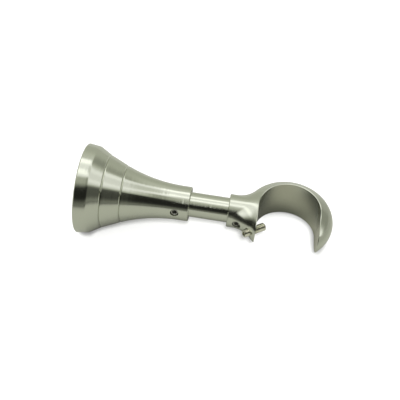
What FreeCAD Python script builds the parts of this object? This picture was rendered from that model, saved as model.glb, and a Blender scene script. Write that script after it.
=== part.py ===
import FreeCAD, Part
import math
import os

from FreeCAD import Vector

# Adjustable bracket for one curtain pole, fixed to a wall.
# Millimetres. The wall is the plane Y = 0 and the bracket stands out towards -Y.
# The stem lies on the Y axis, the pole lies along X, and the pole cup opens upwards (+Z).
# "Reach" is a distance out from the wall, so a point at reach r has Y = -r.

# Pole and cup
pole_diameter = 28.0
cradle_clearance = 0.85
pole_reach = 101.6
pole_lift = 1.2
cup_wall = 7.15
cup_nose_radius = 8.9
cup_side_turn = 54.0
cup_offset = 0.2
collar_radius = 8.1
collar_length = 7.2
collar_blend = 14.5
cup_edge_chamfer = 0.32
collar_edge_chamfer = 0.4

# Stem
stem_radius = 6.1
stem_length = 56.0
stem_socket_depth = 11.0
stem_clearance = 0.05
stem_end_gap = 0.2
stem_edge_chamfer = 0.5

# Flared base
base_length = 53.6
rim_radius = 22.2
rim_taper = 0.7
rim_wall = 3.7
rim_length = 6.0
first_groove_reach = 11.9
first_groove_radius = 18.05
second_groove_reach = 20.8
second_groove_radius = 14.1
flare_end_reach = 49.0
neck_radius = 8.55
groove_width = 1.0
groove_depth = 0.4
rim_back_chamfer = 0.5
rim_front_rounding = 1.6
neck_edge_chamfer = 0.4
hollow_ledge = 3.0
hollow_end_radius = 8.0
hollow_reach = 27.0

# Wall plate
plate_thickness = 5.0
plate_side_gap = 0.1
plate_front_gap = 0.4
plate_groove_depth = 1.2
plate_groove_width = 3.2
fixing_spacing = 22.0
fixing_hole_radius = 2.25
fixing_head_radius = 4.5
fixing_head_depth = 2.4

# Hex socket screws
screw_radius = 2.0
screw_clearance = 0.05
screw_edge_chamfer = 0.35
hex_across_flats = 2.0
drill_point_turn = 59.0
grub_length = 1.8
grub_socket_depth = 1.0
grub_point_gap = 0.06
neck_screw_from_face = 6.7
neck_screw_turn = 9.0
cup_screw_from_face = 4.9
rim_screw_reach = 3.0
rim_screw_length = 4.0
rim_screw_socket_depth = 1.8
rim_screw_point_length = 1.4
rim_screw_tip_radius = 0.4
rim_screw_point_gap = 0.45
pole_screw_length = 11.5
pole_screw_socket_depth = 2.0
pole_screw_angle = 35.0
pole_screw_drop = 1.8
pole_screw_reach = 13.4

# Worked out from the sizes above
cradle_radius = pole_diameter / 2 + cradle_clearance
cup_radius = cradle_radius + cup_wall
pole_axis_y = -pole_reach
cup_centre_y = pole_axis_y - cup_offset
collar_face_y = pole_axis_y + cup_radius + collar_length
socket_floor_y = collar_face_y - stem_socket_depth
stem_front_y = socket_floor_y + stem_end_gap
stem_back_y = stem_front_y + stem_length
stem_bore_radius = stem_radius + stem_clearance
screw_hole_radius = screw_radius + screw_clearance
rim_front_radius = rim_radius - rim_taper
recess_radius = rim_radius - rim_wall
recess_depth = plate_thickness + plate_front_gap
plate_radius = recess_radius - plate_side_gap
grub_point_radius = stem_radius + grub_point_gap
cup_screw_y = collar_face_y - cup_screw_from_face
neck_screw_y = -base_length + neck_screw_from_face

along_y = Vector(0, 1, 0)
along_x = Vector(1, 0, 0)
upwards = Vector(0, 0, 1)
pole_centre = Vector(0, pole_axis_y, pole_lift)
pole_screw_aim = pole_centre + Vector(0, 0, -pole_screw_drop)
overshoot = 1.0
nearness = 0.01
samples = 5


def at(reach, radius):
    """A point of a turned outline, above the stem axis."""
    return Vector(0, -reach, radius)


def turned(edges):
    """A solid of revolution about the stem axis from a closed outline."""
    face = Part.Face(Part.Wire(Part.__sortEdges__(edges)))
    return face.revolve(Vector(0, 0, 0), along_y, 360)


def straight(points):
    """Straight edges through the points, in order."""
    return [Part.makeLine(a, b) for a, b in zip(points, points[1:])]


def rounded_corner(before, corner, after, radius):
    """The two tangent points and the arc that round one corner of an outline."""
    into = (before - corner).normalize()
    out = (after - corner).normalize()
    half_angle = into.getAngle(out) / 2
    cut_back = radius / math.tan(half_angle)
    start = corner + into * cut_back
    end = corner + out * cut_back
    middle_line = (into + out).normalize()
    middle = corner + middle_line * (radius / math.sin(half_angle) - radius)
    return start, end, Part.Arc(start, middle, end).toShape()


def ring_edges(shape, radius, y):
    """Edges of a shape that run round the stem axis at a given radius and place."""
    found = []
    for edge in shape.Edges:
        box = edge.BoundBox
        level = abs(box.YMin - y) < nearness and abs(box.YMax - y) < nearness
        if level and abs(box.XMax - radius) < nearness:
            found.append(edge)
    return found


def hex_socket(depth):
    """The hexagonal recess of a screw whose outer end is at the origin, pointing up."""
    corner_radius = hex_across_flats / math.sqrt(3)
    corners = []
    for i in range(7):
        turn = math.radians(60 * i)
        corners.append(Vector(corner_radius * math.cos(turn), corner_radius * math.sin(turn), overshoot))
    hexagon = Part.Face(Part.makePolygon(corners)).extrude(Vector(0, 0, -depth - overshoot))
    point_depth = corner_radius / math.tan(math.radians(drill_point_turn))
    return hexagon.fuse(Part.makeCone(corner_radius, 0, point_depth, Vector(0, 0, -depth), -upwards))


def socket_screw(length, socket_depth, point_length=0.0):
    """A headless screw along Z: its socket end at the origin and its point below."""
    tip_radius = rim_screw_tip_radius if point_length else screw_radius - screw_edge_chamfer
    shoulder = point_length or screw_edge_chamfer
    outline = [
        Vector(0, 0, 0),
        Vector(screw_radius - screw_edge_chamfer, 0, 0),
        Vector(screw_radius, 0, -screw_edge_chamfer),
        Vector(screw_radius, 0, shoulder - length),
        Vector(tip_radius, 0, -length),
        Vector(0, 0, -length),
        Vector(0, 0, 0),
    ]
    body = Part.Face(Part.makePolygon(outline)).revolve(Vector(0, 0, 0), upwards, 360)
    return body.cut(hex_socket(socket_depth))


def placed(shape, origin, direction):
    """A copy of a shape made along +Z, turned so that +Z points along direction."""
    copy = shape.copy()
    copy.Placement = FreeCAD.Placement(origin, FreeCAD.Rotation(upwards, direction))
    return copy


def radial(turn):
    """The direction square to the stem axis, turned from straight up towards +X."""
    angle = math.radians(turn)
    return Vector(math.sin(angle), 0, math.cos(angle))


neck_screw_direction = radial(neck_screw_turn)
cup_screw_direction = radial(0)
rim_screw_direction = radial(180)
pole_screw_direction = Vector(
    0, math.cos(math.radians(pole_screw_angle)), math.sin(math.radians(pole_screw_angle))
)


def screw_hole(origin, direction, length):
    """A round tool for a tapped hole that starts at origin and runs along direction."""
    return Part.makeCylinder(screw_hole_radius, length, origin, direction)


def cone_radius(reach):
    """Outer radius of the base between the rim and the second groove."""
    if reach <= first_groove_reach:
        start, end = (rim_length, rim_front_radius), (first_groove_reach, first_groove_radius)
    else:
        start, end = (first_groove_reach, first_groove_radius), (second_groove_reach, second_groove_radius)
    share = (reach - start[0]) / (end[0] - start[0])
    return start[1] + share * (end[1] - start[1])


def groove_points(reach, radius, before, after):
    """The three corners of a V groove turned into the outline at one place."""
    half = groove_width / 2
    return [at(reach - half, before), at(reach, radius - groove_depth), at(reach + half, after)]


def flare_radius(reach):
    """Outer radius of the long concave flare, which runs tangent into the neck."""
    run = flare_end_reach - second_groove_reach
    rise = second_groove_radius - neck_radius
    bend = (run * run + rise * rise) / (2 * rise)
    return neck_radius + bend - math.sqrt(bend * bend - (flare_end_reach - reach) ** 2)


def base_outline():
    """Outer outline of the flared base, from its back edge to the end of its neck."""
    half = groove_width / 2
    back = at(rim_back_chamfer, rim_radius)
    front = at(rim_length, rim_front_radius)
    first = groove_points(
        first_groove_reach,
        first_groove_radius,
        cone_radius(first_groove_reach - half),
        cone_radius(first_groove_reach + half),
    )
    second = groove_points(
        second_groove_reach,
        second_groove_radius,
        cone_radius(second_groove_reach - half),
        flare_radius(second_groove_reach + half),
    )
    front_start, front_end, front_arc = rounded_corner(back, front, first[0], rim_front_rounding)
    flare_middle_reach = (second_groove_reach + half + flare_end_reach) / 2
    flare = Part.Arc(
        second[2],
        at(flare_middle_reach, flare_radius(flare_middle_reach)),
        at(flare_end_reach, neck_radius),
    ).toShape()
    edges = straight([at(0, recess_radius), at(0, rim_radius - rim_back_chamfer), back, front_start])
    edges += [front_arc]
    edges += straight([front_end] + first + second)
    edges += [flare]
    edges += straight([
        at(flare_end_reach, neck_radius),
        at(base_length - neck_edge_chamfer, neck_radius),
        at(base_length, neck_radius - neck_edge_chamfer),
    ])
    return edges


def flared_base():
    """Trumpet-shaped base: rim, two cones, flare and neck, hollow behind, bored for the stem."""
    edges = base_outline()
    edges += straight([
        at(base_length, neck_radius - neck_edge_chamfer),
        at(base_length, stem_bore_radius),
        at(hollow_reach, stem_bore_radius),
        at(hollow_reach, hollow_end_radius),
        at(recess_depth, recess_radius - hollow_ledge),
        at(recess_depth, recess_radius),
        at(0, recess_radius),
    ])
    body = turned(edges)
    neck_origin = Vector(0, neck_screw_y, 0)
    body = body.cut(screw_hole(neck_origin, neck_screw_direction, neck_radius + overshoot))
    rim_origin = Vector(0, -rim_screw_reach, 0) + rim_screw_direction * (recess_radius - overshoot)
    return body.cut(screw_hole(rim_origin, rim_screw_direction, rim_radius - recess_radius + 2 * overshoot))


def wall_plate():
    """Disc that is screwed to the wall, with a V groove round its edge for the rim screw."""
    half_groove = plate_groove_width / 2
    edges = straight([
        at(0, 0),
        at(0, plate_radius),
        at(rim_screw_reach - half_groove, plate_radius),
        at(rim_screw_reach, plate_radius - plate_groove_depth),
        at(rim_screw_reach + half_groove, plate_radius),
        at(plate_thickness, plate_radius),
        at(plate_thickness, 0),
        at(0, 0),
    ])
    plate = turned(edges)
    for side in (-1, 1):
        foot = Vector(0, overshoot, side * fixing_spacing / 2)
        plate = plate.cut(
            Part.makeCylinder(fixing_hole_radius, plate_thickness + 2 * overshoot, foot, -along_y)
        )
        sink = Part.makeCone(
            fixing_hole_radius,
            fixing_head_radius,
            fixing_head_depth,
            Vector(0, fixing_head_depth - plate_thickness, side * fixing_spacing / 2),
            -along_y,
        )
        plate = plate.cut(sink)
    return plate


def stem():
    """Round rod that slides in the neck and seats in the cup's collar."""
    rod = Part.makeCylinder(stem_radius, stem_length, Vector(0, stem_back_y, 0), -along_y)
    ends = ring_edges(rod, stem_radius, stem_back_y) + ring_edges(rod, stem_radius, stem_front_y)
    return rod.makeChamfer(stem_edge_chamfer, ends)


def ball_outline():
    """Half outline of the flattened ball: a nose arc that runs tangent into two sloping sides."""
    turn = math.radians(cup_side_turn)
    nose_centre_y = cup_centre_y + cup_radius - cup_nose_radius
    top = Vector(0, nose_centre_y + cup_nose_radius, 0)
    shoulder = Vector(cup_nose_radius * math.sin(turn), nose_centre_y + cup_nose_radius * math.cos(turn), 0)
    foot = Vector(shoulder.x + (shoulder.y - cup_centre_y) / math.tan(turn), cup_centre_y, 0)
    far_shoulder = Vector(-shoulder.x, shoulder.y, 0)
    far_foot = Vector(-foot.x, foot.y, 0)
    nose = Part.Arc(far_shoulder, top, shoulder).toShape()
    return [nose] + straight([shoulder, foot, far_foot, far_shoulder])


def on_collar(edge):
    """True for an edge that crosses the collar's round side, such as its join with the ball."""
    box = edge.BoundBox
    crosses = max(box.XLength, box.ZLength) > nearness
    return crosses and all(
        abs(math.hypot(p.x, p.z) - collar_radius) < nearness for p in edge.discretize(samples)
    )


def cup_blank():
    """Flattened ball that is round about the pole axis, blended into a round collar."""
    centre = Vector(0, cup_centre_y, 0)
    outline = Part.Face(Part.Wire(Part.__sortEdges__(ball_outline())))
    ball = outline.revolve(centre, along_x, 360)
    collar = Part.makeCylinder(collar_radius, collar_face_y - cup_centre_y, centre, along_y)
    blank = ball.fuse(collar)
    saddle = [
        edge for edge in blank.Edges
        if on_collar(edge) and edge.BoundBox.YMax < collar_face_y - collar_edge_chamfer
    ]
    blank = blank.makeFillet(collar_blend, saddle)
    return blank.makeChamfer(collar_edge_chamfer, ring_edges(blank, collar_radius, collar_face_y))


def cradle_tool():
    """The space of the U-shaped cradle: a round bottom about the pole axis and straight sides."""
    reach_x = cup_radius
    bottom = Part.makeCylinder(cradle_radius, 2 * reach_x, pole_centre - along_x * reach_x, along_x)
    mouth = Part.makeBox(
        2 * reach_x,
        2 * cradle_radius,
        cup_radius + overshoot,
        Vector(-reach_x, pole_axis_y - cradle_radius, pole_lift),
    )
    return bottom.fuse(mouth).removeSplitter()


def on_cradle(point):
    """True where a point lies on the wall of the cradle."""
    across = point.y - pole_axis_y
    above = point.z - pole_lift
    distance = abs(across) if above > 0 else math.hypot(across, above)
    return abs(distance - cradle_radius) < nearness


def cradle_rims(cup):
    """The two edges where the cradle's wall comes out through the flattened ball."""
    rims = []
    for edge in cup.Edges:
        points = edge.discretize(samples)
        level = max(p.z for p in points) - min(p.z for p in points)
        depth = max(p.y for p in points) - min(p.y for p in points)
        runs_along_pole = level < nearness and depth < nearness
        if all(on_cradle(p) for p in points) and not runs_along_pole:
            rims.append(edge)
    return rims


def pole_cup():
    """Open cup that holds the pole, with a stem socket and two tapped holes."""
    cup = cup_blank().cut(cradle_tool())
    cup = cup.makeChamfer(cup_edge_chamfer, cradle_rims(cup))
    socket = Part.makeCylinder(
        stem_bore_radius, stem_socket_depth + overshoot, Vector(0, socket_floor_y, 0), along_y
    )
    cup = cup.cut(socket)
    cup = cup.cut(screw_hole(Vector(0, cup_screw_y, 0), cup_screw_direction, 2 * collar_radius))
    start = pole_screw_aim + pole_screw_direction * pole_screw_reach
    return cup.cut(screw_hole(start, pole_screw_direction, 2 * pole_screw_length))


def grub_screw(y, direction):
    """A short screw whose point stands just clear of the stem."""
    screw = socket_screw(grub_length, grub_socket_depth)
    outer_end = Vector(0, y, 0) + direction * (grub_point_radius + grub_length)
    return placed(screw, outer_end, direction)


def rim_screw():
    """The coned screw under the rim that draws the base on to its wall plate."""
    screw = socket_screw(rim_screw_length, rim_screw_socket_depth, rim_screw_point_length)
    point_radius = plate_radius - plate_groove_depth + rim_screw_point_gap
    outer_end = Vector(0, -rim_screw_reach, 0) + rim_screw_direction * (point_radius + rim_screw_length)
    return placed(screw, outer_end, rim_screw_direction)


def pole_screw():
    """The long screw that is turned in by hand key to grip the pole."""
    screw = socket_screw(pole_screw_length, pole_screw_socket_depth)
    outer_end = pole_screw_aim + pole_screw_direction * (pole_screw_reach + pole_screw_length)
    return placed(screw, outer_end, pole_screw_direction)


parts = {
    "flared_base": flared_base(),
    "wall_plate": wall_plate(),
    "rim_screw": rim_screw(),
    "neck_screw": grub_screw(neck_screw_y, neck_screw_direction),
    "stem": stem(),
    "pole_cup": pole_cup(),
    "cup_screw": grub_screw(cup_screw_y, cup_screw_direction),
    "pole_screw": pole_screw(),
}

os.makedirs("parts", exist_ok=True)
for name, shape in parts.items():
    shape.exportStep(os.path.join("parts", name + ".step"))
    box = shape.BoundBox
    print(name, "valid", shape.isValid(), "solids", len(shape.Solids), "volume %.1f" % shape.Volume,
          "x %.2f..%.2f y %.2f..%.2f z %.2f..%.2f" % (
              box.XMin, box.XMax, box.YMin, box.YMax, box.ZMin, box.ZMax))
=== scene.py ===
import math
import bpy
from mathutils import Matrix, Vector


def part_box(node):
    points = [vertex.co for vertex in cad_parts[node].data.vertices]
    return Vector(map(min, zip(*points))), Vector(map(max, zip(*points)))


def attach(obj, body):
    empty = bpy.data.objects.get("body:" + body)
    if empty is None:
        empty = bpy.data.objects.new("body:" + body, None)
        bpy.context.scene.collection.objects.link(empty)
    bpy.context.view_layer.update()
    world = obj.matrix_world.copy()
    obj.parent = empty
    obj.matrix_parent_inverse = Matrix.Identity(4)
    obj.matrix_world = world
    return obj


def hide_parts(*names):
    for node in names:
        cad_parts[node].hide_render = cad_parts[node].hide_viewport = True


bl_info = {
    "name": "Curtain Pole Bracket",
    "version": (1, 0, 0),
    "blender": (4, 5, 0),
    "location": "View3D > Sidebar > Bracket",
    "description": "Dresses an adjustable bracket for a curtain pole in brushed steel",
    "category": "Object",
}

import bpy
from bpy.props import FloatProperty, FloatVectorProperty, PointerProperty
from mathutils import Matrix, Vector

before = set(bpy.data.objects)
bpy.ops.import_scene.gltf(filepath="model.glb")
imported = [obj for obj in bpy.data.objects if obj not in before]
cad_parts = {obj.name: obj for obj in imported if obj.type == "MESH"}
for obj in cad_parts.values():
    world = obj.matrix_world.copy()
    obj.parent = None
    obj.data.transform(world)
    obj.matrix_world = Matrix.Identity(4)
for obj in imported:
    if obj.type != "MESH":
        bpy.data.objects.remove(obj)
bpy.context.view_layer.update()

MM = 0.001
WHITE = (1, 1, 1)
BLACK = (0, 0, 0)

# The bracket as it lies: the table's normal, how far the table is from the middle of the wall face,
# and the way along the stem, away from the wall
TABLE_UP = Vector((0.9943, 0.1061, -0.012)).normalized()
TABLE_DROP = 22.13 * MM
STEM_OUT = Vector((0, -1, 0))


def in_metres(*lengths):
    """Lengths in millimetres as metres."""
    return tuple(length * MM for length in lengths)


def rgba(colour):
    """A colour with full opacity, as the colour sockets take it."""
    return (*colour, 1)


class Socket:
    """A shader value that can be used in ordinary arithmetic."""

    def __init__(self, tree, out):
        self.tree = tree
        self.out = out

    def _math(self, operation, other, swap=False):
        """One Math node on this value and another one or a number, or on this value alone."""
        node = self.tree.nodes.new("ShaderNodeMath")
        node.operation = operation
        values = (other, self) if swap else (self, other)
        for slot, value in zip(node.inputs, values):
            if value is None:
                continue
            if isinstance(value, Socket):
                self.tree.links.new(value.out, slot)
            else:
                slot.default_value = value
        return Socket(self.tree, node.outputs[0])

    def __add__(self, other):
        return self._math("ADD", other)

    __radd__ = __add__

    def __sub__(self, other):
        return self._math("SUBTRACT", other)

    def __rsub__(self, other):
        return self._math("SUBTRACT", other, swap=True)

    def __mul__(self, other):
        return self._math("MULTIPLY", other)

    __rmul__ = __mul__

    def towards(self, other, amount):
        """This value at nought and the other at one."""
        return (other - self) * amount + self

    def angle_to(self, other):
        """The angle of a direction, in radians, with this value across and the other ahead."""
        return self._math("ARCTAN2", other)

    def absolute(self):
        """This value without its sign."""
        return self._math("ABSOLUTE", None)


class Shader:
    """A node tree that is emptied and then filled by plain calls."""

    # A Mix node has several sockets of each name, so its colour sockets are taken by place
    MIX_FACTOR, MIX_FIRST, MIX_SECOND, MIX_RESULT = 0, 6, 7, 2

    def __init__(self, owner):
        owner.use_nodes = True
        self.tree = owner.node_tree
        self.tree.nodes.clear()

    def node(self, kind, settings=None, out=0, **inputs):
        """One node: its settings first, then the values or links of its sockets by name."""
        made = self.tree.nodes.new(kind)
        for key, value in (settings or {}).items():
            setattr(made, key, value)
        for key, value in inputs.items():
            self.feed(made.inputs[key.replace("_", " ")], value)
        return Socket(self.tree, made.outputs[out])

    def feed(self, slot, value):
        """Links a shader value to a socket, or sets a plain one."""
        if isinstance(value, Socket):
            self.tree.links.new(value.out, slot)
        else:
            slot.default_value = value

    def split(self, vector):
        """The three numbers of a vector."""
        made = self.tree.nodes.new("ShaderNodeSeparateXYZ")
        self.tree.links.new(vector.out, made.inputs[0])
        return [Socket(self.tree, slot) for slot in made.outputs]

    def vector_math(self, operation, first, second=None, scale=None, out="Vector"):
        """One Vector Math node."""
        made = self.tree.nodes.new("ShaderNodeVectorMath")
        made.operation = operation
        self.feed(made.inputs[0], first)
        if second is not None:
            self.feed(made.inputs[1], second)
        if scale is not None:
            self.feed(made.inputs["Scale"], scale)
        return Socket(self.tree, made.outputs[out])

    def share(self, vector, axis):
        """How far a vector points along a fixed axis."""
        return self.vector_math("DOT_PRODUCT", vector, tuple(axis), out="Value")

    def fade(self, value, start, end, shape="SMOOTHSTEP"):
        """Nought at start and one at end, with a soft or straight step between them."""
        made = self.tree.nodes.new("ShaderNodeMapRange")
        made.interpolation_type = shape
        self.feed(made.inputs["Value"], value)
        made.inputs["From Min"].default_value = min(start, end)
        made.inputs["From Max"].default_value = max(start, end)
        made.inputs["To Min"].default_value = 0.0 if start < end else 1.0
        made.inputs["To Max"].default_value = 1.0 if start < end else 0.0
        return Socket(self.tree, made.outputs[0])

    def mix_colour(self, factor, first, second):
        """The first colour at nought and the second at one."""
        made = self.tree.nodes.new("ShaderNodeMix")
        made.data_type = "RGBA"
        self.feed(made.inputs[self.MIX_FACTOR], factor)
        self.feed(made.inputs[self.MIX_FIRST], first)
        self.feed(made.inputs[self.MIX_SECOND], second)
        return Socket(self.tree, made.outputs[self.MIX_RESULT])

    def mix_shader(self, factor, first, second):
        """The first shader at nought and the second at one."""
        made = self.tree.nodes.new("ShaderNodeMixShader")
        self.feed(made.inputs[0], factor)
        self.tree.links.new(first.out, made.inputs[1])
        self.tree.links.new(second.out, made.inputs[2])
        return Socket(self.tree, made.outputs[0])

    def surface(self, shader, kind="ShaderNodeOutputMaterial"):
        """Ends the tree in its output."""
        end = self.tree.nodes.new(kind)
        self.tree.links.new(shader.out, end.inputs["Surface"])


class BracketLook(bpy.types.PropertyGroup):
    """Colours and finish of the metal."""

    steel: FloatVectorProperty(
        name="Steel", description="Colour of the brushed steel",
        subtype="COLOR", size=3, min=0, max=1, default=(0.60, 0.62, 0.525),
    )
    screw: FloatVectorProperty(
        name="Pole screw", description="Colour of the pole screw",
        subtype="COLOR", size=3, min=0, max=1, default=(0.82, 0.81, 0.69),
    )
    grub: FloatVectorProperty(
        name="Grub screws", description="Colour of the small grub screws",
        subtype="COLOR", size=3, min=0, max=1, default=(0.34, 0.34, 0.31),
    )
    plate: FloatVectorProperty(
        name="Wall plate", description="Colour of the zinc plated wall plate",
        subtype="COLOR", size=3, min=0, max=1, default=(0.60, 0.62, 0.63),
    )
    roughness: FloatProperty(
        name="Roughness", description="Blur of the metal's reflections",
        subtype="FACTOR", min=0, max=1, default=0.13,
    )
    neck_screw_turn: FloatProperty(
        name="Neck screw turn", description="Turn of the neck screw about the stem, in degrees",
        min=-180, max=180, default=9,
    )
    pole_screw_lean: FloatProperty(
        name="Pole screw lean", description="Slope of the pole screw, in degrees",
        min=0, max=90, default=35,
    )
    brush: FloatProperty(
        name="Brush marks", description="How far the turning marks tilt the surface",
        min=0, max=1, default=0.16,
    )


class BracketStage(bpy.types.PropertyGroup):
    """Camera."""

    lens: FloatProperty(
        name="Lens", description="Focal length of the camera in millimetres",
        min=10, max=300, default=67.48,
    )
    roll: FloatProperty(
        name="Roll", description="Turn of the camera about its line of sight",
        subtype="ANGLE", default=-0.1930,
    )


# Finishes. Marks, clouds and grain are counted in waves per metre.
FINE_MARKS = 9000.0
BROAD_MARKS = 900.0
BROAD_SHARE = 0.6
TURNED_CLOUD = 60.0
TURNED_CLOUD_SHADE = 0.96
TURNED_CLOUD_BLUR = 0.06
SATIN_CLOUD = 80.0
SATIN_CLOUD_SHADE = 0.94
SATIN_CLOUD_BLUR = 0.08
SATIN_GRAIN = 4000.0
SATIN_GRAIN_HEIGHT = 0.1 * MM
SATIN_GRAIN_STRENGTH = 0.05
CUP_EXTRA_BLUR = 0.06
PLATE_BLUR = 0.35
POLE_SCREW_BLUR = 0.14
GRUB_SCREW_BLUR = 0.2
SAME_POINT = 0.002 * MM
CRISP_CORNER = math.radians(20)


def turning_marks(shader, place, detail, roughness):
    """Uneven marks along one line, as a tilt to either side of nought."""
    noise = shader.node(
        "ShaderNodeTexNoise", {"noise_dimensions": "1D"},
        W=place, Scale=1.0, Detail=detail, Roughness=roughness,
    )
    return noise - 0.5


def cloudy_metal(shader, cloud, colour, shade, blur, roughness, normal):
    """Metal whose colour and roughness follow a soft cloud."""
    tone = shader.mix_colour(cloud, rgba([part * shade for part in colour]), rgba(colour))
    return shader.node(
        "ShaderNodeBsdfPrincipled", Base_Color=tone, Metallic=1.0,
        Roughness=(cloud - 0.5) * blur + roughness, Normal=normal,
    )


def turned_steel(name, colour, roughness, brush):
    """Brushed steel whose fine marks run round the stem axis."""
    material = bpy.data.materials.new(name)
    shader = Shader(material)
    place = shader.node("ShaderNodeTexCoord", out="Object")
    along = shader.split(place)[1]
    fine = turning_marks(shader, along * FINE_MARKS, 3.0, 0.7)
    broad = turning_marks(shader, along * BROAD_MARKS, 2.0, 0.5)
    tilt = fine * brush + broad * (brush * BROAD_SHARE)
    smooth = shader.node("ShaderNodeNewGeometry", out="Normal")
    lean = shader.vector_math("SCALE", tuple(STEM_OUT), scale=tilt)
    marked = shader.vector_math("NORMALIZE", shader.vector_math("ADD", smooth, lean))
    cloud = shader.node("ShaderNodeTexNoise", Vector=place, Scale=TURNED_CLOUD, Detail=2.0)
    shader.surface(cloudy_metal(
        shader, cloud, colour, TURNED_CLOUD_SHADE, TURNED_CLOUD_BLUR, roughness, marked,
    ))
    return material


def satin_steel(name, colour, roughness):
    """Steel with an even, slightly cloudy satin finish."""
    material = bpy.data.materials.new(name)
    shader = Shader(material)
    place = shader.node("ShaderNodeTexCoord", out="Object")
    cloud = shader.node("ShaderNodeTexNoise", Vector=place, Scale=SATIN_CLOUD, Detail=3.0)
    grain = shader.node("ShaderNodeTexNoise", Vector=place, Scale=SATIN_GRAIN, Detail=2.0)
    bump = shader.node(
        "ShaderNodeBump", Strength=SATIN_GRAIN_STRENGTH, Distance=SATIN_GRAIN_HEIGHT, Height=grain,
    )
    shader.surface(cloudy_metal(
        shader, cloud, colour, SATIN_CLOUD_SHADE, SATIN_CLOUD_BLUR, roughness, bump,
    ))
    return material


def dress(name, material):
    """Gives a CAD node its material and a smooth, welded skin with crisp corners."""
    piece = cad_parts[name]
    piece.data.materials.clear()
    piece.data.materials.append(material)
    for polygon in piece.data.polygons:
        polygon.use_smooth = True
    weld = piece.modifiers.new("Weld", "WELD")
    weld.merge_threshold = SAME_POINT
    split = piece.modifiers.new("Corners", "EDGE_SPLIT")
    split.split_angle = CRISP_CORNER


class BRACKET_OT_base(bpy.types.Operator):
    """Dresses the flared base, the stem and the wall plate"""

    bl_idname = "bracket.base"
    bl_label = "Base"

    def execute(self, context):
        look = context.scene.bracket_look
        steel = turned_steel("turned_steel", tuple(look.steel), look.roughness, look.brush)
        dress("flared_base", steel)
        dress("stem", steel)
        dress("wall_plate", satin_steel("plate_zinc", tuple(look.plate), PLATE_BLUR))
        return {"FINISHED"}


class BRACKET_OT_cup(bpy.types.Operator):
    """Dresses the pole cup"""

    bl_idname = "bracket.cup"
    bl_label = "Pole cup"

    def execute(self, context):
        look = context.scene.bracket_look
        steel = satin_steel("cup_steel", tuple(look.steel), look.roughness + CUP_EXTRA_BLUR)
        dress("pole_cup", steel)
        return {"FINISHED"}


# Socket screws: M4 thread and a 2 mm hexagon socket, as in the solids
SCREW_RADIUS = 2.0 * MM
THREAD_PITCH = 0.7 * MM
THREAD_DEPTH = 0.36 * MM
THREAD_STEPS = 64
THREAD_SEAM = 0.005 * MM
END_CHAMFER = 0.35 * MM
FLAT_END_RADIUS = SCREW_RADIUS - END_CHAMFER
SOCKET_RADIUS = 2.0 * MM / math.sqrt(3)
SOCKET_FLOOR_STEP = 0.06 * MM
SOCKET_DRILL_DEPTH = SOCKET_RADIUS * 0.5
LEAD_IN_RADIUS = SOCKET_RADIUS + 0.12 * MM
LEAD_IN_RISE = 0.001 * MM
RING_REACH = 0.01 * MM
SCREW_CORNER = math.radians(25)

# Length and socket depth of each screw, then the length and end radius of a pointed end
SCREW_SIZES = {
    "neck_screw": in_metres(1.8, 1.0),
    "cup_screw": in_metres(1.8, 1.0),
    "rim_screw": in_metres(4.0, 1.8, 1.4, 0.4),
    "pole_screw": in_metres(11.5, 2.0),
}
BODY_OF = {"neck_screw": "base", "rim_screw": "base", "cup_screw": "cup", "pole_screw": "clamp"}


def only(obj):
    """Selects one object alone and makes it active."""
    bpy.ops.object.select_all(action="DESELECT")
    obj.select_set(True)
    bpy.context.view_layer.objects.active = obj


def place_applied():
    """Moves the new primitive's place and turn into its mesh, and hands it back."""
    bpy.ops.object.transform_apply(location=True, rotation=True, scale=True)
    return bpy.context.object


def select_by(obj, kind, items, wanted):
    """Selects the vertices or faces of an object that pass a test, and opens it for editing."""
    bpy.ops.object.mode_set(mode="EDIT")
    bpy.ops.mesh.select_mode(type=kind)
    bpy.ops.mesh.select_all(action="DESELECT")
    bpy.ops.object.mode_set(mode="OBJECT")
    for item in items:
        item.select = wanted(item)
    bpy.ops.object.mode_set(mode="EDIT")


def apply_all(obj):
    """Applies an object's modifiers in order."""
    only(obj)
    for modifier in list(obj.modifiers):
        bpy.ops.object.modifier_apply(modifier=modifier.name)


def cut_with(obj, tool, operation):
    """Cuts or crops an object with another one, which is then removed."""
    step = obj.modifiers.new("Cut", "BOOLEAN")
    step.object = tool
    step.operation = operation
    step.solver = "EXACT"
    apply_all(obj)
    bpy.data.objects.remove(tool, do_unlink=True)


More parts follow.
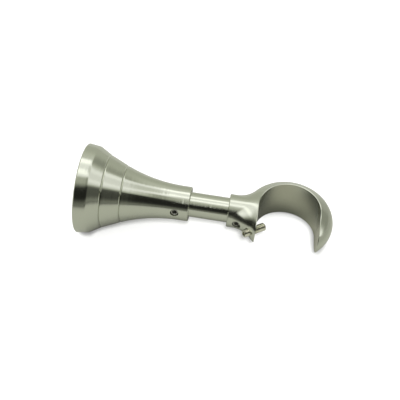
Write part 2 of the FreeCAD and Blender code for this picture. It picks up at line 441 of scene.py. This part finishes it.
def thread_bar(length):
    """A threaded bar along Z, from a little below -length to a little above zero."""
    bpy.ops.object.select_all(action="DESELECT")
    root = SCREW_RADIUS - THREAD_DEPTH
    run = length + 4 * THREAD_PITCH
    bpy.ops.mesh.primitive_circle_add(
        vertices=4, radius=THREAD_PITCH / 2, rotation=(math.pi / 2, 0, 0),
        location=(root, 0, -length - 2 * THREAD_PITCH),
    )
    bar = place_applied()
    innermost = min(vertex.co.x for vertex in bar.data.vertices)
    select_by(bar, "VERT", bar.data.vertices, lambda vertex: vertex.co.x == innermost)
    bpy.ops.mesh.delete(type="VERT")
    bpy.ops.mesh.select_all(action="SELECT")
    bpy.ops.transform.resize(
        value=(THREAD_DEPTH / (THREAD_PITCH / 2), 1, 1),
        center_override=(root, 0, 0), orient_type="GLOBAL",
    )
    bpy.ops.object.mode_set(mode="OBJECT")
    twist = bar.modifiers.new("Twist", "SCREW")
    twist.axis = "Z"
    twist.angle = 2 * math.pi
    twist.screw_offset = THREAD_PITCH
    twist.iterations = math.ceil(run / THREAD_PITCH)
    twist.steps = THREAD_STEPS
    twist.render_steps = THREAD_STEPS
    apply_all(bar)
    bpy.ops.object.mode_set(mode="EDIT")
    bpy.ops.mesh.select_all(action="SELECT")
    bpy.ops.mesh.remove_doubles(threshold=THREAD_SEAM)
    for height, up in ((0.5 * THREAD_PITCH, True), (-length - 0.5 * THREAD_PITCH, False)):
        bpy.ops.mesh.select_all(action="SELECT")
        bpy.ops.mesh.bisect(
            plane_co=(0, 0, height), plane_no=(0, 0, 1), use_fill=True,
            clear_outer=up, clear_inner=not up,
        )
    bpy.ops.mesh.select_all(action="SELECT")
    bpy.ops.mesh.normals_make_consistent(inside=False)
    bpy.ops.object.mode_set(mode="OBJECT")
    return bar


def narrow_end(obj, height, radius):
    """Draws the ring of edges at one height in to a smaller radius."""
    only(obj)
    select_by(obj, "VERT", obj.data.vertices, lambda vertex: abs(vertex.co.z - height) < RING_REACH)
    ratio = radius / SCREW_RADIUS
    bpy.ops.transform.resize(
        value=(ratio, ratio, 1), center_override=(0, 0, height), orient_type="GLOBAL",
    )
    bpy.ops.object.mode_set(mode="OBJECT")


def blank_bar(length, point_length, point_radius):
    """The smooth outline of a screw, chamfered at the socket end and narrowed at the other."""
    bpy.ops.object.select_all(action="DESELECT")
    bpy.ops.mesh.primitive_cylinder_add(
        vertices=THREAD_STEPS, radius=SCREW_RADIUS, depth=length, location=(0, 0, -length / 2),
    )
    blank = place_applied()
    bpy.ops.object.mode_set(mode="EDIT")
    for height in (-END_CHAMFER, -length + point_length):
        bpy.ops.mesh.select_all(action="SELECT")
        bpy.ops.mesh.bisect(plane_co=(0, 0, height), plane_no=(0, 0, 1))
    bpy.ops.object.mode_set(mode="OBJECT")
    narrow_end(blank, 0, FLAT_END_RADIUS)
    narrow_end(blank, -length, point_radius)
    return blank


def socket_tool(depth):
    """The hexagonal recess with its drilled point."""
    bpy.ops.object.select_all(action="DESELECT")
    bpy.ops.mesh.primitive_cylinder_add(
        vertices=6, radius=SOCKET_RADIUS, depth=depth + THREAD_PITCH,
        location=(0, 0, (THREAD_PITCH - depth) / 2),
    )
    tool = place_applied()
    select_by(tool, "FACE", tool.data.polygons, lambda face: face.normal.z < -0.5)
    bpy.ops.mesh.inset(thickness=SOCKET_FLOOR_STEP)
    bpy.ops.mesh.extrude_region_move(
        TRANSFORM_OT_translate={"value": (0, 0, -SOCKET_DRILL_DEPTH)}
    )
    bpy.ops.mesh.merge(type="CENTER")
    bpy.ops.object.mode_set(mode="OBJECT")
    return tool


def lead_in_tool():
    """A cone that breaks the sharp edge round the socket's mouth."""
    bpy.ops.object.select_all(action="DESELECT")
    bpy.ops.mesh.primitive_cone_add(
        vertices=THREAD_STEPS, radius1=0, radius2=LEAD_IN_RADIUS, depth=LEAD_IN_RADIUS,
        location=(0, 0, -LEAD_IN_RADIUS / 2 + LEAD_IN_RISE),
    )
    return place_applied()


def socket_screw(name, length, socket_depth, point_length=END_CHAMFER, point_radius=FLAT_END_RADIUS):
    """A headless screw along Z with its socket end at the origin."""
    blank = blank_bar(length, point_length, point_radius)
    cut_with(blank, lead_in_tool(), "DIFFERENCE")
    cut_with(blank, socket_tool(socket_depth), "DIFFERENCE")
    screw = thread_bar(length)
    cut_with(screw, blank, "INTERSECT")
    screw.name = name
    only(screw)
    bpy.ops.object.shade_smooth_by_angle(angle=SCREW_CORNER)
    return screw


def outer_end(name, direction):
    """The outer end of a screw's solid, found from its box and the way it points."""
    low, high = (Vector(corner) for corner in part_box(name))
    centre = (low + high) / 2
    size = high - low
    spread = Vector(math.sqrt(max(1 - c * c, 0)) for c in direction) * SCREW_RADIUS
    along = max(range(3), key=lambda i: abs(direction[i]))
    half = (size[along] / 2 - spread[along]) / abs(direction[along])
    return centre + direction * half


def seat(screw, direction, node, material):
    """Puts a finished screw in the place of its solid, on the same CAD body."""
    only(screw)
    screw.rotation_mode = "QUATERNION"
    screw.rotation_quaternion = direction.to_track_quat("Z", "Y")
    screw.location = outer_end(node, direction)
    bpy.ops.object.transform_apply(location=True, rotation=True, scale=True)
    screw.data.materials.clear()
    screw.data.materials.append(material)
    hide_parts(node)
    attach(screw, BODY_OF[node])


class BRACKET_OT_screws(bpy.types.Operator):
    """Models and seats the threaded socket screws"""

    bl_idname = "bracket.screws"
    bl_label = "Screws"

    def execute(self, context):
        look = context.scene.bracket_look
        steel = satin_steel("screw_steel", tuple(look.screw), POLE_SCREW_BLUR)
        dark = satin_steel("grub_steel", tuple(look.grub), GRUB_SCREW_BLUR)
        turn = math.radians(look.neck_screw_turn)
        lean = math.radians(look.pole_screw_lean)
        ways = {
            "neck_screw": Vector((math.sin(turn), 0, math.cos(turn))),
            "cup_screw": Vector((0, 0, 1)),
            "rim_screw": Vector((0, 0, -1)),
            "pole_screw": Vector((0, math.cos(lean), math.sin(lean))),
        }
        for name, way in ways.items():
            screw = socket_screw(name + "_threaded", *SCREW_SIZES[name])
            seat(screw, way, name, steel if name == "pole_screw" else dark)
        return {"FINISHED"}


# Camera and lamp, placed in the bracket's own frame
CAMERA_PLACE = Vector((273.93, -73.99, 245.57)) * MM
CAMERA_AIM = Vector((0.124, -57.912, -3.635)) * MM
CAMERA_CLIP = 10 * MM
PICTURE_UP = Vector((0, 0, -1))
LAMP_RISE = 0.15
LAMP_STRENGTH = 3.0
LAMP_SPREAD = math.radians(11)


def make_camera(stage):
    """Camera that looks down on the open side of the bracket as it lies on a table."""
    ahead = (CAMERA_AIM - CAMERA_PLACE).normalized()
    right = ahead.cross(PICTURE_UP).normalized()
    down = ahead.cross(right)
    turn = Matrix.Rotation(stage.roll, 3, ahead)
    right = turn @ right
    down = turn @ down
    data = bpy.data.cameras.new("Camera")
    data.lens = stage.lens
    data.clip_start = CAMERA_CLIP
    camera = bpy.data.objects.new("Camera", data)
    facing = Matrix((right, -down, -ahead)).transposed().to_4x4()
    camera.matrix_world = Matrix.Translation(CAMERA_PLACE) @ facing
    bpy.context.scene.collection.objects.link(camera)
    bpy.context.scene.camera = camera


# The room that the metal reflects. A direction in it has an angle, in degrees from the front of the
# table, up over the bracket and down behind it, and a lean, from -1 towards the wall to 1 away from
# it. Seen by the camera, the stem reflects leans near -0.1, the rim 0.14 and the cones 0.6 to 0.8.
# Each pair of values is the start and the end of a step.
ROOM_TINT = (0.97, 1.0, 0.87)
TINTED_LIGHT = (1.0, 0.6)
DARK_SIDE = 0.02
WINDOW = 1.15
BACK_WALL = 0.57

# The near edge of the window: crisp at the stem's lean, then a long slope, two steps and one soft one
EDGE_CRISP = (40.0, 47.0)
EDGE_SLOPE = (42.0, 92.0)
EDGE_LOW_STEP = (44.0, 60.0)
EDGE_HIGH_STEP = (70.0, 77.0)
EDGE_LOW_SHARE = 0.45
EDGE_SOFT = (47.0, 62.0)
LEAN_TO_SLOPE = (-0.04, 0.02)
LEAN_TO_STEPS = (0.07, 0.13)
LEAN_TO_SOFT = (0.25, 0.45)

# The far edge of the window: crisp, moved a little over the leans, and soft at the outer end
FAR_EDGE_CRISP = (122.0, 130.0)
FAR_EDGE_SOFT = (108.0, 140.0)
FAR_EDGE_SHIFT = 9.0
LEAN_TO_FAR_SHIFT = (0.1, 0.45)
LEAN_TO_FAR_SOFT = (0.5, 0.7)

# How the light changes with the lean: each step and what it adds
WINDOW_STEPS = (((0.1, 0.3), -0.35), ((0.48, 0.62), 0.2), ((0.88, 0.98), 0.4))
DARK_STEPS = (((0.45, 0.8), 0.09), ((0.86, 0.97), 0.22))

# The window's extra light where the rim reflects it, and low down where the stem does
RIM_LEAN = 0.14
RIM_LEAN_REACH = (0.06, 0.02)
RIM_GAIN = 0.12
STEM_LEANS = (-0.02, -0.1)
STEM_ANGLES = (80.0, 64.0)
STEM_GAIN = 0.22

# Two bright strips in the window, which slant to the front and lose strength at the outer end
STRIPS = (
    {"centre": 88.0, "slant": 18.0, "rim_shift": 4.0, "rim_widening": 1.5, "edge": (8.0, 4.0)},
    {"centre": 118.0, "slant": 11.0, "rim_shift": 3.0, "rim_widening": 0.0, "edge": (9.0, 5.0)},
)
STRIP_LEANS = (0.0, 0.7)
STRIP_GAIN = 0.6
STRIP_LOSS = 0.42

# The window's end towards the wall, which is slanted: the lean there falls with the angle
WINDOW_END = (-0.59, -0.07)
WINDOW_END_SLANT = 0.0037

# The dark side near the table's front, and the back wall near the window and at the outer end
DARK_FRONT = (20.0, -2.0)
DARK_FRONT_GAIN = 0.2
WALL_NEAR_WINDOW = (165.0, 128.0)
WALL_NEAR_LEANS = (0.2, 0.5)
WALL_NEAR_GAIN = 0.2
WALL_OUTER_LEANS = (0.4, 0.6)
WALL_OUTER_LOSS = 0.2


def stepped(fade, value, start, steps):
    """A level that each step raises or lowers as the value passes it."""
    level = start
    for step, change in steps:
        level = fade(value, *step) * change + level
    return level


def window_edge(fade, angle, lean):
    """Nought in front of the window and one inside it."""
    edge = fade(angle, *EDGE_CRISP)
    edge = edge.towards(fade(angle, *EDGE_SLOPE, "LINEAR"), fade(lean, *LEAN_TO_SLOPE))
    steps = fade(angle, *EDGE_LOW_STEP) * EDGE_LOW_SHARE
    steps = steps + fade(angle, *EDGE_HIGH_STEP) * (1.0 - EDGE_LOW_SHARE)
    edge = edge.towards(steps, fade(lean, *LEAN_TO_STEPS))
    return edge.towards(fade(angle, *EDGE_SOFT), fade(lean, *LEAN_TO_SOFT))


def window_far_edge(fade, angle, lean):
    """Nought in the window and one behind it."""
    crisp = fade(angle + fade(lean, *LEAN_TO_FAR_SHIFT) * FAR_EDGE_SHIFT, *FAR_EDGE_CRISP)
    return crisp.towards(fade(angle, *FAR_EDGE_SOFT), fade(lean, *LEAN_TO_FAR_SOFT))


def strip_light(fade, angle, outer, rim, centre, slant, rim_shift, rim_widening, edge):
    """One in the middle of a bright strip and nought beside it."""
    distance = (angle - centre + outer * slant - rim * rim_shift).absolute()
    return fade(distance - rim * rim_widening, *edge)


def window_light(fade, angle, lean):
    """The light of the window, with its strips, up to its end towards the wall."""
    rim = fade((lean - RIM_LEAN).absolute(), *RIM_LEAN_REACH)
    outer = fade(lean, *STRIP_LEANS, "LINEAR")
    base = rim * RIM_GAIN + stepped(fade, lean, WINDOW, WINDOW_STEPS)
    base = fade(lean, *STEM_LEANS) * fade(angle, *STEM_ANGLES) * STEM_GAIN + base
    near_strip, far_strip = (strip_light(fade, angle, outer, rim, **strip) for strip in STRIPS)
    light = (near_strip + far_strip) * (STRIP_GAIN - outer * STRIP_LOSS) + base
    return light * fade(angle * WINDOW_END_SLANT + lean, *WINDOW_END) + DARK_SIDE


def dark_light(fade, angle, lean):
    """The dark side, which pales towards the outer end and the table's front."""
    dark = stepped(fade, lean, DARK_SIDE, DARK_STEPS)
    return fade(angle, *DARK_FRONT) * DARK_FRONT_GAIN + dark


def wall_light(fade, angle, lean):
    """The wall behind the window, paler near the window and darker at the outer end."""
    near = fade(angle, *WALL_NEAR_WINDOW) * (1.0 - fade(lean, *WALL_NEAR_LEANS))
    return near * WALL_NEAR_GAIN - fade(lean, *WALL_OUTER_LEANS) * WALL_OUTER_LOSS + BACK_WALL


def make_world():
    """White to the camera, and a softly lit room to everything else."""
    world = bpy.data.worlds.new("Room")
    bpy.context.scene.world = world
    shader = Shader(world)
    fade = shader.fade
    front = (Vector((0, 0, 1)) - TABLE_UP * TABLE_UP.z).normalized()
    way = shader.vector_math("NORMALIZE", shader.node("ShaderNodeTexCoord", out="Generated"))
    height = shader.share(way, TABLE_UP)
    depth = shader.share(way, front)
    lean = shader.share(way, TABLE_UP.cross(front))
    angle = 90.0 - depth.angle_to(height) * (180 / math.pi)
    dark = dark_light(fade, angle, lean)
    level = dark.towards(window_light(fade, angle, lean), window_edge(fade, angle, lean))
    level = level.towards(wall_light(fade, angle, lean), window_far_edge(fade, angle, lean))
    tint = shader.mix_colour(fade(level, *TINTED_LIGHT), rgba(WHITE), rgba(ROOM_TINT))
    is_camera = shader.node("ShaderNodeLightPath", out="Is Camera Ray")
    white = shader.node("ShaderNodeBackground", Color=rgba(WHITE), Strength=1.0)
    lit = shader.node("ShaderNodeBackground", Color=tint, Strength=level)
    shader.surface(shader.mix_shader(is_camera, lit, white), "ShaderNodeOutputWorld")


# The table that the metal reflects: its colours, which are painted light and shade (a grey table,
# darker far off, with painted shade and painted light on it), and where one gives way to the next,
# along the stem's axis Y or towards the front Z
TABLE_SIZE = 3.0
TABLE_MIDDLE = Vector((0, -60 * MM, 0))
TABLE_NEAR = (0.405, 0.41, 0.375)
TABLE_FAR = (0.14, 0.14, 0.13)
TABLE_FAR_OFF = in_metres(60, 500)
TABLE_OUTER_END = in_metres(-125, -170)
TABLE_OUTER_PAINTED_SHADE = 0.2
# Painted light: a lighter colour for the table under the pole cup's cradle
TABLE_CRADLE_PAINTED_LIGHT = (0.35, 0.345, 0.295)
CRADLE_ALONG = (in_metres(-128, -114), in_metres(-90, -104))
CRADLE_ACROSS = (in_metres(-14, -2), in_metres(22, 8))

# Its painted shade under the bracket, by how much sky a point sees, which is deeper beside the stem
TABLE_PAINTED_SHADE_UNDER = (0.06, 0.06, 0.053)
SKY_REACH = 60 * MM
SKY_STEP = (0.1, 0.7)
SKY_SAMPLES = 4
STEM_SIDE_ACROSS = (in_metres(8, -8), in_metres(-50, -25))
STEM_SIDE_END = in_metres(-120, -95)
STEM_SIDE_SHADE = 0.8

# The white table that the camera sees, and its short painted shade where the bracket's ends come
# close
TABLE_GLOW = 0.29
TABLE_CONTACT_PAINTED_SHADE = (0.25, 0.25, 0.25)
CONTACT_REACH = 4 * MM
CONTACT_STEP = (0.97, 0.45)
CONTACT_SAMPLES = 8
CONTACT_ENDS = (in_metres(-9, -5), in_metres(-84, -92))


def open_sky(shader, samples, reach):
    """How much of the sky within a reach is open above a point."""
    return shader.node("ShaderNodeAmbientOcclusion", {"samples": samples}, out="AO", Distance=reach)


def reflected_table(shader, along, forward):
    """The table as the metal reflects it, in painted light and shade: grey near the bracket, darker
    far off and at the outer end, with painted shade under the bracket, deeper beside the stem, and a
    lighter painted patch under the cradle.
    """
    fade = shader.fade
    # Painted shade: grey near the bracket, darker far off towards the front
    colour = shader.mix_colour(fade(forward, *TABLE_FAR_OFF), rgba(TABLE_NEAR), rgba(TABLE_FAR))
    # Painted shade: the table's colour goes part way to black towards and past the outer end
    outer = fade(along, *TABLE_OUTER_END) * TABLE_OUTER_PAINTED_SHADE
    colour = shader.mix_colour(outer, colour, rgba(BLACK))
    # Painted shade: where little sky is open under the bracket, and more beside the stem, the colour
    # goes to the dark shade colour
    stem_side = fade(forward, *STEM_SIDE_ACROSS[0]) * fade(forward, *STEM_SIDE_ACROSS[1])
    stem_side = stem_side * fade(along, *STEM_SIDE_END)
    sky = fade(open_sky(shader, SKY_SAMPLES, SKY_REACH), *SKY_STEP)
    sky = sky * (1.0 - stem_side * STEM_SIDE_SHADE)
    colour = shader.mix_colour(sky, rgba(TABLE_PAINTED_SHADE_UNDER), colour)
    # Painted light: a lighter patch under the cradle, laid over the painted shade
    cradle = fade(along, *CRADLE_ALONG[0]) * fade(along, *CRADLE_ALONG[1])
    cradle = fade(forward, *CRADLE_ACROSS[0]) * fade(forward, *CRADLE_ACROSS[1]) * cradle
    colour = shader.mix_colour(cradle, colour, rgba(TABLE_CRADLE_PAINTED_LIGHT))
    return shader.node("ShaderNodeBsdfDiffuse", Color=colour)


def white_table(shader, along):
    """The table as the camera sees it: white, with a short painted shade where the bracket's ends
    come close.
    """
    fade = shader.fade
    ends = fade(along, *CONTACT_ENDS[0]) + fade(along, *CONTACT_ENDS[1])
    # Painted shade: grey mixed into the white where the bracket's ends come within a short reach of
    # the table
    painted_contact_shade = fade(open_sky(shader, CONTACT_SAMPLES, CONTACT_REACH), *CONTACT_STEP) * ends
    colour = shader.mix_colour(painted_contact_shade, rgba(WHITE), rgba(TABLE_CONTACT_PAINTED_SHADE))
    paper = shader.node("ShaderNodeBsdfDiffuse", Color=colour)
    glow = shader.node("ShaderNodeEmission", Color=rgba(WHITE), Strength=1.0)
    return shader.mix_shader(TABLE_GLOW, paper, glow)


def make_table():
    """A table top under the bracket, clear to any view from behind it."""
    bpy.ops.mesh.primitive_plane_add(size=TABLE_SIZE, location=(0, 0, 0))
    table = bpy.context.object
    table.name = "table"
    foot = TABLE_MIDDLE - TABLE_UP * (TABLE_MIDDLE.dot(TABLE_UP) + TABLE_DROP)
    facing = TABLE_UP.to_track_quat("Z", "Y").to_matrix().to_4x4()
    table.matrix_world = Matrix.Translation(foot) @ facing
    material = bpy.data.materials.new("table_white")
    shader = Shader(material)
    _, along, forward = shader.split(shader.node("ShaderNodeNewGeometry", out="Position"))
    is_camera = shader.node("ShaderNodeLightPath", out="Is Camera Ray")
    paper = reflected_table(shader, along, forward)
    seen = shader.mix_shader(is_camera, paper, white_table(shader, along))
    behind = shader.node("ShaderNodeNewGeometry", out="Backfacing")
    clear = shader.node("ShaderNodeBsdfTransparent")
    shader.surface(shader.mix_shader(behind, seen, clear))
    table.data.materials.append(material)


def make_lamp():
    """A lamp a little above the camera, which puts a narrow shadow on the table."""
    ahead = (CAMERA_AIM - CAMERA_PLACE).normalized()
    data = bpy.data.lights.new("Lamp", "SUN")
    data.energy = LAMP_STRENGTH
    data.angle = LAMP_SPREAD
    lamp = bpy.data.objects.new("Lamp", data)
    lamp.rotation_mode = "QUATERNION"
    lamp.rotation_quaternion = (ahead - PICTURE_UP * LAMP_RISE).to_track_quat("-Z", "Y")
    lamp.visible_glossy = False
    bpy.context.scene.collection.objects.link(lamp)


class BRACKET_OT_stage(bpy.types.Operator):
    """Adds the camera, the table and the light"""

    bl_idname = "bracket.stage"
    bl_label = "Stage"

    def execute(self, context):
        make_camera(context.scene.bracket_stage)
        make_world()
        make_table()
        make_lamp()
        context.scene.view_settings.view_transform = "Standard"
        return {"FINISHED"}


class BRACKET_PT_panel(bpy.types.Panel):
    """Lists the steps that dress the bracket"""

    bl_label = "Curtain Pole Bracket"
    bl_idname = "BRACKET_PT_panel"
    bl_space_type = "VIEW_3D"
    bl_region_type = "UI"
    bl_category = "Bracket"

    def draw(self, context):
        for operator in STEPS:
            self.layout.operator(operator.bl_idname)


STEPS = (BRACKET_OT_base, BRACKET_OT_cup, BRACKET_OT_screws, BRACKET_OT_stage)
CLASSES = (BracketLook, BracketStage, *STEPS, BRACKET_PT_panel)


def register():
    """Adds the classes, and their settings to the scene."""
    for item in CLASSES:
        bpy.utils.register_class(item)
    bpy.types.Scene.bracket_look = PointerProperty(type=BracketLook)
    bpy.types.Scene.bracket_stage = PointerProperty(type=BracketStage)


def unregister():
    """Takes away all that register added."""
    del bpy.types.Scene.bracket_stage
    del bpy.types.Scene.bracket_look
    for item in reversed(CLASSES):
        bpy.utils.unregister_class(item)


def main():
    """Dresses the bracket and sets its stage."""
    register()
    bpy.ops.bracket.base()
    bpy.ops.bracket.cup()
    bpy.ops.bracket.screws()
    bpy.ops.bracket.stage()


if __name__ == "__main__":
    main()
